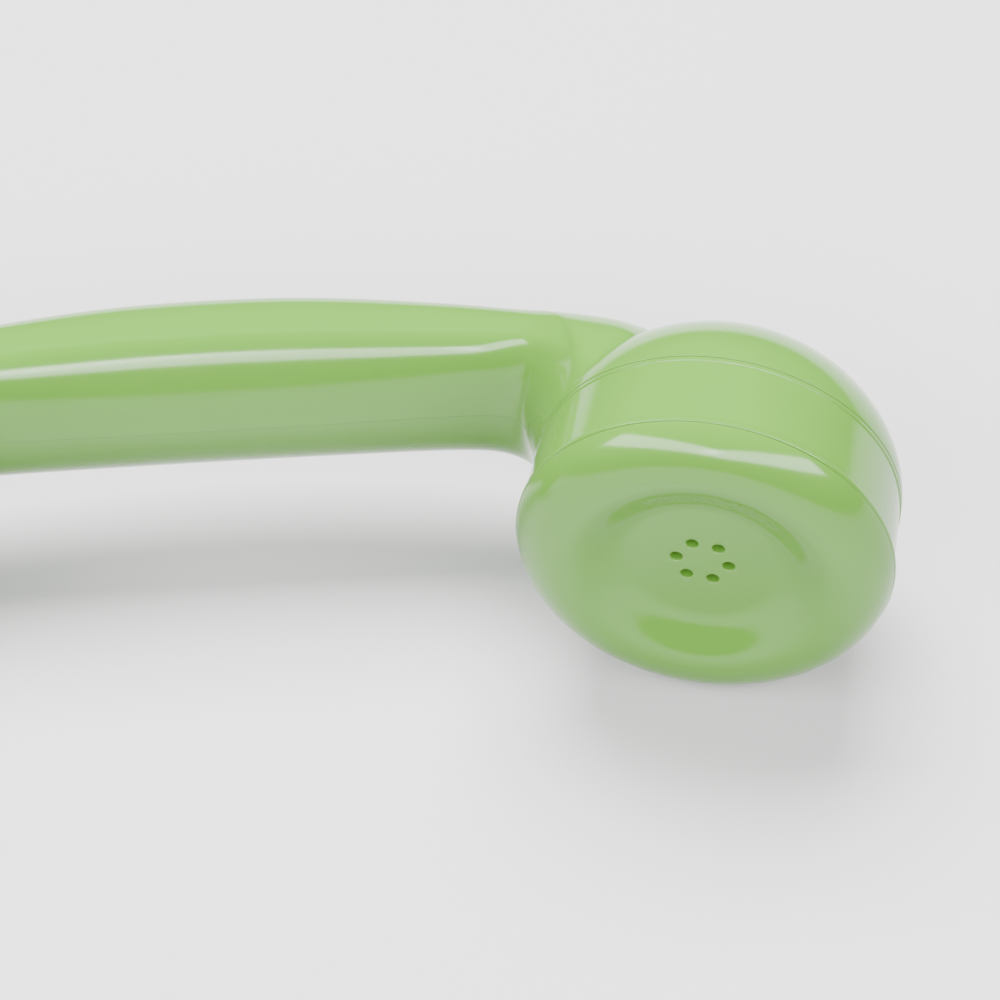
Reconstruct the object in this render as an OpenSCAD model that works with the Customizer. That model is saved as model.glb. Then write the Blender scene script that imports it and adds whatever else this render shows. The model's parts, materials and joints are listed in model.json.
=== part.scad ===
// Telephone handset: a one-piece handle moulding with two domed bowls, a threaded collar and a
// screw cap on each bowl, a receiver capsule at one end and a carbon transmitter at the other.
//
// The handset lies on its side. X runs along it with the receiver at +X, the caps face -Y and
// the domed backs +Y, and Z is across the grip, with Z = 0 where the collars touch the table.

/* [Drums] */
// Outer radius where the cap meets the collar
seam_r = 31; // [29.5:0.1:32]
// Outer radius where the collar meets the dome
ring_r = 30.2; // [29.6:0.1:30.6]
// Height of the domed back above the collar
dome_h = 24.2; // [23:0.1:25]
// Wall thickness of the bowls
wall = 2.6; // [2.2:0.1:3]
// Angle by which each cap turns in towards the other
tilt = 13; // [11:1:15]
// Distance from the middle of the handset to each cap's seam
seam_x = 79.5; // [78:0.5:82]

/* [Grip] */
// Height of the palm side above the cap seams
palm_y = 32.2; // [31:0.1:34]
// Height of the back of the grip above the cap seams, at its middle
back_y = 55.3; // [53:0.1:57]
// Half the width of the grip at its middle
grip_w = 15; // [14:0.5:17]
// Radius of the wire channel
channel_r = 4.5; // [3.5:0.1:5]

/* [Caps] */
// Radius of the round of the cap's rim
rim_round = 8.4; // [8.2:0.1:8.6]
// Radius of the circle that the round follows
rim_circle = 22.8; // [22.6:0.1:22.9]
// Depth of the round's centre behind the seam
rim_back = 2.4; // [2.2:0.1:2.6]
// How far the dished face stands out from the seam, at its middle
face_out = 2; // [1.8:0.1:2.4]
// Radius of the circle of sound holes
hole_circle = 4.3; // [4:0.1:5]
// Angle by which the sound holes are turned
hole_turn = -7; // [-30:1:30]
// Radius of a sound hole
hole_r = 1; // [0.8:0.1:1.2]

/* [Thread] */
// Lead of the cap thread
lead = 3; // [2.8:0.1:3.2]
// Height of the thread's ridge
thread_h = 0.85; // [0.6:0.05:0.85]

/* [Hidden] */
$fn = 64;

RECEIVER = 1;
TRANSMITTER = -1;
axis_z = seam_r;                             // height of the drums' axes above the table
rim_y = rim_back * cos(tilt) - rim_circle * sin(tilt) - rim_round;
seam_y = -(back_y + rim_y) / 2;              // puts the origin midway between caps and back
eps = 0.02;

// ---------------------------------------------------------------- frames

// A drum's own frame: its origin is the middle of the cap's seam and +Z points out of the cap.
module drum(side)
    translate([side * seam_x, seam_y, axis_z])
        rotate([0, 0, -side * tilt])
            rotate([90, 0, 0])
                children();

// Copies on a circle about Z.
module around(count, radius, first = 0)
    for (i = [0 : count - 1])
        rotate([0, 0, first + i * 360 / count])
            translate([radius, 0, 0])
                children();

// A disc, or a ring where inner isn't 0, between two heights.
module ring(outer, inner, low, high)
    difference() {
        translate([0, 0, low]) cylinder(r = outer, h = high - low);
        if (inner > 0) translate([0, 0, low - 1]) cylinder(r = inner, h = high - low + 2);
    }

// ---------------------------------------------------------------- curves

function arc(cx, cy, r, from, to, steps) =
    [for (i = [0 : steps]) let (a = from + (to - from) * i / steps) [cx + r * cos(a), cy + r * sin(a)]];

// A dome's outline from its rim to its top, as [radius, height], a little less full than an ellipse.
dome_power = 1.06;
function dome_curve(r, h, steps) =
    [for (i = [0 : steps]) let (a = 90 * i / steps)
        [r * pow(cos(a), dome_power), -h * pow(sin(a), dome_power)]];

// The radius of that outline at a depth below its rim.
function dome_radius(r, h, depth) =
    r * pow(cos(asin(pow(depth / h, 1 / dome_power))), dome_power);

// Catmull-Rom between rows i and i + 1 of a table, at t from 0 to 1.
function row(table, i) = table[max(0, min(len(table) - 1, i))];
function blend(table, i, t) =
    let (p = row(table, i - 1), a = row(table, i), b = row(table, i + 1), n = row(table, i + 2))
    a + t * ((b - p) / 2 + t * (p - 2.5 * a + 2 * b - n / 2 + t * (1.5 * a - 1.5 * b + (n - p) / 2)));
function smooth(table, steps) = concat(
    [for (i = [0 : len(table) - 2], j = [0 : steps - 1]) blend(table, i, j / steps)],
    [table[len(table) - 1]]
);

// A closed solid through a list of rings of points.
module loft(rings) {
    n = len(rings[0]);
    m = len(rings);
    points = [for (r = rings) for (p = r) p];
    sides = [for (i = [0 : m - 2], k = [0 : n - 1])
        let (a = i * n + k, b = i * n + (k + 1) % n)
        for (f = [[a, b, b + n], [a, b + n, a + n]]) f];
    ends = [[for (k = [n - 1 : -1 : 0]) k], [for (k = [0 : n - 1]) (m - 1) * n + k]];
    polyhedron(points, concat(sides, ends), convexity = 6);
}

// ---------------------------------------------------------------- grip

// Sections of one half of the grip, from its middle into the bowl: [x, bend, half width,
// palm height, height of the widest line, fullness of the palm side, fullness of the back].
// bend wraps a section round the drum, so that the neck lands on the collar's circle.
grip_half = [
    [0, 0, grip_w, palm_y + 0.7, 41, 1.65, 2.6],
    [16, 0, grip_w - 0.1, palm_y + 0.7, 41, 1.7, 2.6],
    [32, 0, grip_w - 0.6, palm_y + 0.8, 40.6, 1.85, 2.5],
    [42, 0, grip_w - 0.9, palm_y + 0.9, 40, 2, 2.5],
    [48, 0.3, grip_w - 0.7, palm_y + 0.4, 39, 2.1, 2.4],
    [51.5, 0.7, grip_w + 0.6, palm_y - 1.4, 36, 2.2, 2.3],
    [53.2, 1, grip_w + 3, palm_y - 6, 31, 2.4, 2.25],
    [53.8, 1, grip_w + 5, 19, 26, 2.8, 2.2],
    [58, 1, grip_w + 6.4, 14, 24, 3, 2.1],
    [66, 0.6, grip_w + 6.4, 14, 24, 3, 2],
    [76, 0, grip_w + 3, 16, 24, 3, 1.9],
    [84, 0, 8, 18, 24, 3, 1.8]
];
back_drop = 0.0023;                          // fall of the back per square of the distance
section_points = 28;
stations_per_step = 2;

function signed_power(v, e) = sign(v) * pow(abs(v), e);
function sag(z) = ring_r - sqrt(max(0, ring_r * ring_r - z * z));

// The points of one section of the table, on one side of the middle.
function section(s, side) =
    [for (k = [0 : section_points - 1])
        let (
            a = side * 360 * k / section_points,
            upper = sin(a) >= 0,
            power = 2 / (upper ? s[6] : s[5]),
            z = s[2] * signed_power(cos(a), power),
            x = s[0] + s[1] * sag(z),
            back = back_y - back_drop * x * x,
            y = s[4] + (upper ? back - s[4] : s[4] - s[3]) * signed_power(sin(a), power)
        )
        [side * x, seam_y + y, axis_z + z]];

// One half of the grip, from just past its middle into its bowl.
module grip(side)
    loft([for (s = smooth(grip_half, stations_per_step)) section(s, side)]);

// ---------------------------------------------------------------- handle moulding

spigot_r = 27.8;                             // the bowl's spigot, which the collar fits over
spigot_top = -11;
spigot_low = -19;
boss_circle = 24.6;
boss_r = 2.7;
boss_low = -24;
boss_top = spigot_top - 0.05;                // just under the spigot's edge, which the web sits on
boss_first = 90;
screw_r = 1.2;
bush_z = -20.6;                              // height of the cord bush in the drum's frame
bush_r = 3.9;
bush_pad_r = 6;
bush_seat = 24;                              // distance of the bush's inner seat from the axis
clamp_x = -15;                               // place of the two posts of the cord clamp
clamp_y = 6.5;
clamp_top = -26;

module dome_outer()
    translate([0, 0, -band_h])
        rotate_extrude() polygon(concat([[0, 0]], dome_curve(ring_r, dome_h, 16)));

module bowl_hollow()
    translate([0, 0, -band_h]) {
        rotate_extrude() polygon(concat([[0, 0]], dome_curve(ring_r - wall, dome_h - wall, 12)));
        cylinder(r = ring_r - wall, h = 40);
    }

// The space in front of the collar's plane, which the neck of the grip may not enter.
module in_front_of_bowl()
    translate([-60, -60, -band_h]) cube([120, 120, 60]);

// What the fittings of a bowl are trimmed to.
module bowl_space() {
    dome_outer();
    translate([0, 0, -band_h - 1]) cylinder(r = spigot_r, h = 40);
}

module bowl_fittings()
    intersection() {
        union() {
            ring(spigot_r, spigot_r - 2.4, spigot_low, spigot_top);
            around(3, boss_circle, boss_first)
                translate([0, 0, boss_low])
                    rotate([0, 0, 180]) cylinder(r = boss_r, h = boss_top - boss_low, $fn = 32);
        }
        bowl_space();
    }

module boss_holes()
    around(3, boss_circle, boss_first)
        translate([0, 0, spigot_top - 8]) cylinder(r = screw_r, h = 12, $fn = 24);

// The pad round the cord bush and the two posts of the cord clamp.
module cord_fittings()
    intersection() {
        union() {
            translate([-ring_r, 0, bush_z])
                rotate([0, 90, 0]) cylinder(r = bush_pad_r, h = ring_r - bush_seat);
            for (y = [-clamp_y, clamp_y])
                translate([clamp_x, y, clamp_top - 12]) cylinder(r = 2.7, h = 12, $fn = 32);
        }
        dome_outer();
    }

// The hole for the cord bush, the flat seat that its flange sits on and the posts' screw holes.
module cord_holes() {
    translate([-ring_r - 2, 0, bush_z]) rotate([0, 90, 0]) cylinder(r = bush_r, h = 12);
    translate([-bush_seat, 0, bush_z]) rotate([0, 90, 0]) cylinder(r = bush_pad_r - 0.6, h = 6);
    for (y = [-clamp_y, clamp_y])
        translate([clamp_x, y, clamp_top - 4]) cylinder(r = screw_r, h = 8, $fn = 24);
}

channel_y = 42.5;                            // height of the wire channel above the seams
channel_turn_x = 46;                         // where it turns down into each bowl
channel_fall = 36;                           // angle by which it turns down

module wire_channel() {
    translate([-channel_turn_x, seam_y + channel_y, axis_z])
        rotate([0, 90, 0]) cylinder(r = channel_r, h = 2 * channel_turn_x);
    for (side = [-1, 1])
        translate([side * channel_turn_x, seam_y + channel_y, axis_z])
            rotate([0, 0, side > 0 ? -channel_fall : 180 + channel_fall])
                translate([-channel_r / 2, 0, 0])
                    rotate([0, 90, 0]) cylinder(r = channel_r - 0.1, h = 29);
}

module handle()
    color("yellowgreen")
        difference() {
            union() {
                difference() {
                    union() {
                        for (side = [RECEIVER, TRANSMITTER]) {
                            difference() {
                                grip(side);
                                drum(side) in_front_of_bowl();
                            }
                            drum(side) dome_outer();
                        }
                    }
                    for (side = [RECEIVER, TRANSMITTER]) drum(side) bowl_hollow();
                }
                for (side = [RECEIVER, TRANSMITTER]) drum(side) bowl_fittings();
                drum(TRANSMITTER) cord_fittings();
            }
            wire_channel();
            for (side = [RECEIVER, TRANSMITTER]) drum(side) boss_holes();
            drum(TRANSMITTER) cord_holes();
        }

// ---------------------------------------------------------------- collars and caps

band_h = 14.9;                               // height of the collar's visible band
bore_r = 28.2;                               // inside of the collar, at the thread's root
web_top = -8.5;
web_r = 22.4;
lip = 0.35;                                  // round of the collar's two edges
skirt_r = 26.95;                             // outside of the cap's skirt
skirt_wall = 1.75;
skirt_low = -6.6;
cap_wall = 2.4;
segments_per_turn = 40;
ridge_root = 0.62;                           // half the ridge's width at its root
ridge_crest = 0.3;

// A helical ridge on a cylinder of radius r, which points outwards where out is 1 and inwards
// where it is -1, and thins to nothing at both ends.
module thread_ridge(r, out, start_z, turns) {
    steps = ceil(turns * segments_per_turn);
    outline = out > 0
        ? [[-0.25, -ridge_root], [1, -ridge_crest], [1, ridge_crest], [-0.25, ridge_root]]
        : [[-0.25, -ridge_root], [-0.25, ridge_root], [1, ridge_crest], [1, -ridge_crest]];
    loft([for (i = [0 : steps])
        let (
            a = 360 * i / segments_per_turn,
            z = start_z + lead * i / segments_per_turn,
            h = thread_h * min(1, 0.15 + min(i, steps - i) / 6)
        )
        [for (p = outline)
            let (q = r + out * (p[0] > 0 ? h : p[0]))
            [q * cos(a), q * sin(a), z + p[1]]]]);
}

module collar() {
    difference() {
        rotate_extrude(convexity = 6)
            polygon([
                [web_r, spigot_top], [web_r, web_top], [bore_r, web_top], [bore_r, -eps],
                [seam_r - lip, -eps], [seam_r, -lip - eps],
                [ring_r, -band_h + lip], [ring_r - lip, -band_h + eps],
                [spigot_r + 0.1, -band_h + eps], [spigot_r + 0.1, spigot_top]
            ]);
        around(3, boss_circle, boss_first) {
            translate([0, 0, spigot_top - 1]) cylinder(r = screw_r + 0.25, h = 5, $fn = 24);
            translate([0, 0, web_top - 1.5]) cylinder(r1 = screw_r + 0.25, r2 = 2.7, h = 1.5 + eps, $fn = 24);
        }
    }
    thread_ridge(bore_r, -1, web_top + 1.9, 1.9);
}

// Outside of the cap, from the seam round the rim and down into the dish.
land = 0.3;                                  // half the width of the flat on top of the rim
dish_r = 12;                                 // radius of the flat middle of the dish
rim_top = rim_round - rim_back;
cap_outside = concat(
    arc(rim_circle, -rim_back, rim_round, asin(rim_back / rim_round), 88, 10),
    [[rim_circle + land, rim_top], [rim_circle - land, rim_top]],
    [for (t = [0.12 : 0.11 : 1])
        [(rim_circle - land) * (1 - t) + dish_r * t, face_out + (rim_top - face_out) * (0.5 + 0.5 * cos(180 * t))]],
    [[dish_r, face_out], [0, face_out]]
);

module cap_body() {
    difference() {
        rotate_extrude(convexity = 6)
            polygon(concat([
                [0, face_out - cap_wall], [skirt_r - skirt_wall, face_out - cap_wall],
                [skirt_r - skirt_wall, skirt_low], [skirt_r, skirt_low], [skirt_r, eps]
            ], cap_outside));
        rotate_extrude(convexity = 4)
            polygon([[19.5, -3], [21.5, 2.4], [24.6, 2.4], [skirt_r - skirt_wall, -3]]);
    }
    thread_ridge(skirt_r, 1, web_top + 1.9 + lead / 2, 1.3);
}

module sound_holes(count, circle, first = 0)
    around(count, circle, first)
        translate([0, 0, -12]) cylinder(r = hole_r, h = 20, $fn = 24);

// Three countersunk screws with a slot, through the collar's web into the bowl's bosses.
module collar_screws(side)
    color("silver") drum(side)
        around(3, boss_circle, boss_first)
            difference() {
                union() {
                    translate([0, 0, web_top - 9]) cylinder(r = screw_r, h = 8, $fn = 24);
                    translate([0, 0, web_top - 1.5]) cylinder(r1 = screw_r, r2 = 2.45, h = 1.5, $fn = 24);
                }
                translate([-3, -0.3, web_top - 0.5]) cube([6, 0.6, 1]);
            }

module receiver_collar() color("yellowgreen") drum(RECEIVER) collar();
module transmitter_collar() color("yellowgreen") drum(TRANSMITTER) collar();
module receiver_collar_screws() collar_screws(RECEIVER);
module transmitter_collar_screws() collar_screws(TRANSMITTER);

module receiver_cap()
    color("yellowgreen") drum(RECEIVER)
        difference() {
            cap_body();
            sound_holes(6, hole_circle, hole_turn);
        }

module transmitter_cap()
    color("yellowgreen") drum(TRANSMITTER)
        difference() {
            cap_body();
            sound_holes(1, 0);
            sound_holes(6, hole_circle);
            sound_holes(12, 2 * hole_circle, 15);
        }

// ---------------------------------------------------------------- seals and seats

washer_gap = 0.02;
inner_face = face_out - cap_wall;            // the cap's inner face
felt_h = 0.2;
seat_h = 1;
flange_low = web_top + seat_h;               // underside of the flange of either capsule
flange_h = 1.2;
flange_r = 24.6;
cover_r = 24;

module seat(side) color("dimgray") drum(side) ring(25, 22.6, web_top, flange_low);
module cap_disc(side) drum(side) ring(12.5, 0, inner_face - felt_h, inner_face);
module washer(side, low)
    drum(side) ring(18, 13, low + washer_gap, inner_face - washer_gap);

module receiver_seat() seat(RECEIVER);
module transmitter_seat() seat(TRANSMITTER);
module receiver_felt() color("black") cap_disc(RECEIVER);
module transmitter_membrane() color("ivory") cap_disc(TRANSMITTER);
module receiver_washer() color("dimgray") washer(RECEIVER, receiver_cover_top);
module transmitter_washer() color("dimgray") washer(TRANSMITTER, transmitter_cover_top);

// A capsule's front: a perforated plate with a rim that clamps the diaphragm.
module front_cover(clamp_r, clamp_low, low, top)
    difference() {
        union() {
            ring(cover_r, 0, low, top);
            ring(clamp_r, clamp_r - 1.6, clamp_low, low + 0.5);
        }
        sound_holes(6, 5);
        sound_holes(12, 10);
    }

// ---------------------------------------------------------------- receiver capsule

case_r = 21.4;
case_low = -20;
case_floor = -18.6;
diaphragm_z = -9.6;
diaphragm_h = 0.2;
clamp_r = 20.8;
magnet_h = 5;
pole_r = 4;
rivet_r = 3.2;
board_low = -21.4;
receiver_cover_low = flange_low + flange_h;
receiver_cover_top = receiver_cover_low + 1.3;
terminal_x = 10;

module receiver_case()
    color("silver") drum(RECEIVER)
        rotate_extrude(convexity = 6)
            polygon([
                [rivet_r, case_low], [case_r, case_low], [case_r, flange_low], [flange_r, flange_low],
                [flange_r, receiver_cover_low], [clamp_r, receiver_cover_low], [clamp_r, diaphragm_z],
                [clamp_r - 1.6, diaphragm_z], [clamp_r - 1.6, case_floor], [rivet_r, case_floor]
            ]);

module receiver_grille()
    color("gainsboro") drum(RECEIVER)
        front_cover(clamp_r - 0.05, diaphragm_z + diaphragm_h, receiver_cover_low, receiver_cover_top);

module receiver_diaphragm()
    color("dimgray") drum(RECEIVER) ring(clamp_r - 0.1, 0, diaphragm_z, diaphragm_z + diaphragm_h);

module receiver_magnet()
    color("slategray") drum(RECEIVER) ring(16, 8.6, case_floor, case_floor + magnet_h);

module receiver_pole_ring()
    color("lightsteelblue") drum(RECEIVER)
        ring(16.4, 8.4, case_floor + magnet_h, case_floor + magnet_h + 1.6);

module receiver_pole()
    color("lightsteelblue") drum(RECEIVER) {
        ring(pole_r, 0, case_floor, diaphragm_z - 0.6);
        ring(rivet_r, 0, board_low, case_floor + 0.5);
        ring(pole_r + 0.8, 0, board_low - 1, board_low);
    }

module receiver_coil()
    color("darkorange") drum(RECEIVER) {
        ring(7.6, pole_r, case_floor, case_floor + 0.8);
        ring(7, pole_r, case_floor + 0.8, case_floor + 5.6);
        ring(7.6, pole_r, case_floor + 5.6, case_floor + 6.4);
    }

module receiver_terminal_board()
    color("saddlebrown") drum(RECEIVER)
        difference() {
            ring(15, rivet_r, board_low, case_low);
            for (x = [-terminal_x, terminal_x])
                translate([x, 0, board_low - 1]) cylinder(r = screw_r, h = 4, $fn = 24);
        }

// A cheese-head screw whose head stands below a height, with a slot.
module terminal_screw(height, shank)
    difference() {
        union() {
            translate([0, 0, height - 1.5]) cylinder(r = 2.4, h = 1.5, $fn = 32);
            translate([0, 0, height - 0.5]) cylinder(r = screw_r, h = shank + 0.5, $fn = 24);
        }
        translate([-3, -0.3, height - 2]) cube([6, 0.6, 1]);
    }

module receiver_terminal_screws()
    color("gold") drum(RECEIVER)
        for (x = [-terminal_x, terminal_x])
            translate([x, 0, 0]) terminal_screw(board_low, 1.2);

// ---------------------------------------------------------------- transmitter

cup_low = -19;
cup_floor = -17.6;
cup_inner_r = 20;
capsule_low = -14.5;
capsule_r = 19.4;
capsule_flange = flange_low + flange_h;      // where the capsule's flange rests on the cup
capsule_top = capsule_flange + 1;
capsule_clamp_r = 18.5;
capsule_shoulder = -8;
cell_r = 6.4;
cell_floor = -13.3;
carbon_top = -11.2;
transmitter_cover_top = capsule_top + 1;
spring_h = 0.4;
spring_w = 5;
contact_x = 13;                              // distance of the springs' screws from the axis
tie_x = 12;
tie_y = 5;
terminals = [[-contact_x, 0], [0, contact_x], [tie_x, -tie_y], [tie_x, tie_y]];

module transmitter_cup()
    color("black") drum(TRANSMITTER)
        difference() {
            rotate_extrude(convexity = 6)
                polygon([
                    [0, cup_low], [case_r, cup_low], [case_r, flange_low], [flange_r, flange_low],
                    [flange_r, capsule_flange], [cup_inner_r, capsule_flange],
                    [cup_inner_r, cup_floor], [0, cup_floor]
                ]);
            for (t = terminals)
                translate([t[0], t[1], cup_low - 1]) cylinder(r = screw_r, h = 4, $fn = 24);
        }

module transmitter_case()
    color("silver") drum(TRANSMITTER)
        rotate_extrude(convexity = 6)
            polygon([
                [cell_r, capsule_low], [capsule_r, capsule_low], [capsule_r, capsule_flange],
                [22.5, capsule_flange], [22.5, capsule_top], [capsule_clamp_r, capsule_top],
                [capsule_clamp_r, capsule_shoulder], [capsule_clamp_r - 1.4, capsule_shoulder],
                [capsule_clamp_r - 1.4, cell_floor], [cell_r, cell_floor]
            ]);

module transmitter_grille()
    color("gainsboro") drum(TRANSMITTER)
        intersection() {
            front_cover(capsule_clamp_r - 0.05, capsule_shoulder + diaphragm_h, capsule_top,
                transmitter_cover_top);
            ring(22, 0, -30, 10);
        }

module transmitter_diaphragm()
    color("lightgray") drum(TRANSMITTER)
        ring(capsule_clamp_r - 0.1, 0, capsule_shoulder, capsule_shoulder + diaphragm_h);

module transmitter_electrode()
    color("gold") drum(TRANSMITTER) ring(4.4, 0, carbon_top, capsule_shoulder);

module transmitter_carbon()
    color("black") drum(TRANSMITTER) ring(cell_r - 1, 0, cell_floor, carbon_top);

module transmitter_carbon_cell()
    color("goldenrod") drum(TRANSMITTER)
        rotate_extrude(convexity = 4)
            polygon([
                [0, capsule_low], [cell_r, capsule_low], [cell_r, cell_floor + 3],
                [cell_r - 1, cell_floor + 3], [cell_r - 1, cell_floor], [0, cell_floor]
            ]);

// A bent strip spring, screwed down at x = 0, which rises to touch the capsule at x = reach.
module spring(reach)
    difference() {
        translate([0, spring_w / 2, 0])
            rotate([90, 0, 0])
                linear_extrude(spring_w)
                    polygon([
                        [-3, cup_floor], [3, cup_floor], [reach - 2, capsule_low - spring_h],
                        [reach + 2, capsule_low - spring_h], [reach + 2, capsule_low],
                        [reach - 2.2, capsule_low], [2.8, cup_floor + spring_h], [-3, cup_floor + spring_h]
                    ]);
        translate([0, 0, cup_floor - 1]) cylinder(r = screw_r, h = 4, $fn = 24);
    }

module transmitter_centre_spring()
    color("gold") drum(TRANSMITTER) translate([-contact_x, 0, 0]) spring(contact_x);
module transmitter_ring_spring()
    color("gold") drum(TRANSMITTER) translate([0, contact_x, 0]) rotate([0, 0, -30]) spring(9);

module transmitter_terminal_screws()
    color("gold") drum(TRANSMITTER)
        for (t = terminals)
            translate([t[0], t[1], 0]) terminal_screw(cup_low, cup_floor - cup_low + spring_h);

// ---------------------------------------------------------------- wires

wire_r = 0.8;
wire_steps = 4;
wire_sides = 8;

// The receiver's leads, from the transmitter's tie screws to the receiver's terminals, as
// [x, height above the seams, distance from the centre plane].
white_route = [
    [-71.6, 22.8, 8.6], [-70.2, 24, 7.6], [-68, 25.5, 5], [-65, 28.3, 3.2], [-60, 32, 2],
    [-54, 36.4, 1.5], [-48, 40.6, 1.5], [-42, 42.3, 1.6], [-28, 42.8, 1.4], [-14, 42.2, 1.8],
    [0, 42.8, 1.4], [14, 42.2, 1.7], [28, 42.8, 1.5], [42, 42.2, 1.5], [48, 40, 1.5],
    [54, 35.8, 1.6], [60, 31.8, 1.8], [65, 28.6, 2.6], [70, 27.6, 4], [76, 28, 5.4],
    [84, 27, 5.2], [89, 24.5, 4.8], [92.7, 21.4, 4.1], [94, 19.6, 3.5]
];
green_route = [
    [-71.6, 22.8, -8.6], [-70.2, 24, -7.6], [-68, 25.5, -5], [-65, 28.3, -3.2], [-60, 32, -2],
    [-54, 36.4, -1.5], [-48, 40.6, -1.5], [-42, 42.3, -1.6], [-28, 42.2, -1.4], [-14, 42.8, -1.8],
    [0, 42.2, -1.4], [14, 42.8, -1.7], [28, 42.2, -1.5], [42, 42.3, -1.5], [48, 40, -1.5],
    [54, 35.8, -1.6], [60, 31.6, -2.2], [64, 28.4, -2.6], [68, 26.6, -3], [71.5, 25.3, -3.5],
    [74.6, 24.1, -3.4]
];

function unit(v) = v / norm(v);

// A round tube along a route, with its rings square to it.
module wire(route) {
    path = [for (p = smooth(route, wire_steps)) [p[0], seam_y + p[1], axis_z + p[2]]];
    loft([for (i = [0 : len(path) - 1])
        let (
            along = unit(path[min(len(path) - 1, i + 1)] - path[max(0, i - 1)]),
            across = unit(cross(along, [0, 0, 1])),
            up = cross(across, along)
        )
        [for (k = [0 : wire_sides - 1])
            let (a = 360 * k / wire_sides)
            path[i] + wire_r * (cos(a) * across + sin(a) * up)]]);
}

module wire_white() color("white") wire(white_route);
module wire_green() color("green") wire(green_route);

// ---------------------------------------------------------------- cord entry

bush_bore = 2.8;
bush_out = 28.4;                             // distance of the bush's outer face from the axis
clamp_h = 1;

module cord_bush()
    color("dimgray") drum(TRANSMITTER)
        translate([0, 0, bush_z])
            rotate([0, -90, 0])
                difference() {
                    union() {
                        ring(bush_r - 0.05, 0, bush_seat - 1, bush_out);
                        ring(5.2, 0, bush_seat - 1.2, bush_seat);
                    }
                    translate([0, 0, bush_seat - 5]) cylinder(r = bush_bore, h = 12);
                }

module cord_clamp()
    color("silver") drum(TRANSMITTER)
        difference() {
            union() {
                translate([clamp_x - 2.5, -clamp_y, clamp_top]) cube([5, 2 * clamp_y, clamp_h]);
                for (y = [-clamp_y, clamp_y])
                    translate([clamp_x, y, clamp_top]) cylinder(r = 2.5, h = clamp_h, $fn = 32);
            }
            for (y = [-clamp_y, clamp_y])
                translate([clamp_x, y, clamp_top - 1]) cylinder(r = screw_r, h = 4, $fn = 24);
        }

module cord_clamp_screws()
    color("silver") drum(TRANSMITTER)
        for (y = [-clamp_y, clamp_y])
            translate([clamp_x, y, clamp_top + clamp_h]) mirror([0, 0, 1]) terminal_screw(0, 4);

handle();
receiver_collar();
transmitter_collar();
receiver_collar_screws();
transmitter_collar_screws();
receiver_cap();
transmitter_cap();
receiver_felt();
transmitter_membrane();
receiver_washer();
transmitter_washer();
receiver_seat();
transmitter_seat();
receiver_case();
receiver_grille();
receiver_diaphragm();
receiver_magnet();
receiver_pole_ring();
receiver_pole();
receiver_coil();
receiver_terminal_board();
receiver_terminal_screws();
transmitter_cup();
transmitter_case();
transmitter_grille();
transmitter_diaphragm();
transmitter_electrode();
transmitter_carbon();
transmitter_carbon_cell();
transmitter_centre_spring();
transmitter_ring_spring();
transmitter_terminal_screws();
wire_white();
wire_green();
cord_bush();
cord_clamp();
cord_clamp_screws();
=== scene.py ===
"""Telephone handset: moulded skins, screw caps and inner works, in metres in the part's frame."""

import json
import math

import bmesh
import bpy
import numpy as np
from mathutils import Matrix, Vector


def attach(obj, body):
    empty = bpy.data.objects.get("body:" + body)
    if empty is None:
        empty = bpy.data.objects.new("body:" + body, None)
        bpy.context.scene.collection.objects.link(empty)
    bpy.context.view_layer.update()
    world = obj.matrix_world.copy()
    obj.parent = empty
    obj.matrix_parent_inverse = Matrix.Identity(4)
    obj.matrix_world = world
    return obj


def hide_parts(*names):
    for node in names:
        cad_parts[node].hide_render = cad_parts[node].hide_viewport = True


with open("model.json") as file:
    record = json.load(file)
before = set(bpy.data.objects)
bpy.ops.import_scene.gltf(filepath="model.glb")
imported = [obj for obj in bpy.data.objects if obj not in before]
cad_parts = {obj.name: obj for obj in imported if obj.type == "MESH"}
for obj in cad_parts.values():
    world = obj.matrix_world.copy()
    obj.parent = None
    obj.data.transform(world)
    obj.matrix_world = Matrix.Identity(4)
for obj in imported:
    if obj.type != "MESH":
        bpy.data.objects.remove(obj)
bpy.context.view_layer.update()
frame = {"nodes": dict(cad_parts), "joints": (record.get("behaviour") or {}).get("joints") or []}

MM = 0.001
RECEIVER, TRANSMITTER = "receiver", "transmitter"
SIDE = {RECEIVER: 1, TRANSMITTER: -1}

# ---------------------------------------------------------------- frames

hinges = {j["name"]: j for j in frame["joints"]}


def drum_matrix(end):
    """The drum's frame: its origin is the middle of the cap's seam and +Z points out of the cap."""
    hinge = hinges[end + "_cap_turn"]
    out = Vector(hinge["axis"]).normalized()
    up = Vector((0, 0, 1))
    across = up.cross(out)
    place = Matrix((across, up, out)).transposed().to_4x4()
    place.translation = Vector(hinge["pos_m"])
    return place


DRUM = {end: drum_matrix(end) for end in SIDE}
SEAM = {end: Vector(hinges[end + "_cap_turn"]["pos_m"]) for end in SIDE}
SEAM_Y = SEAM[RECEIVER].y / MM
AXIS_Z = SEAM[RECEIVER].z / MM

# ---------------------------------------------------------------- camera

VIEW_DISTANCE = 0.8
VIEW_AZIMUTH = math.radians(-4.4)
VIEW_ELEVATION = math.radians(48.7)
LENS = 178.3
SENSOR = 36.0
AIM_LEFT = math.radians(2.36209)  # how far the view is turned away from the receiver's seam
AIM_UP = math.radians(0.605005)


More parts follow.
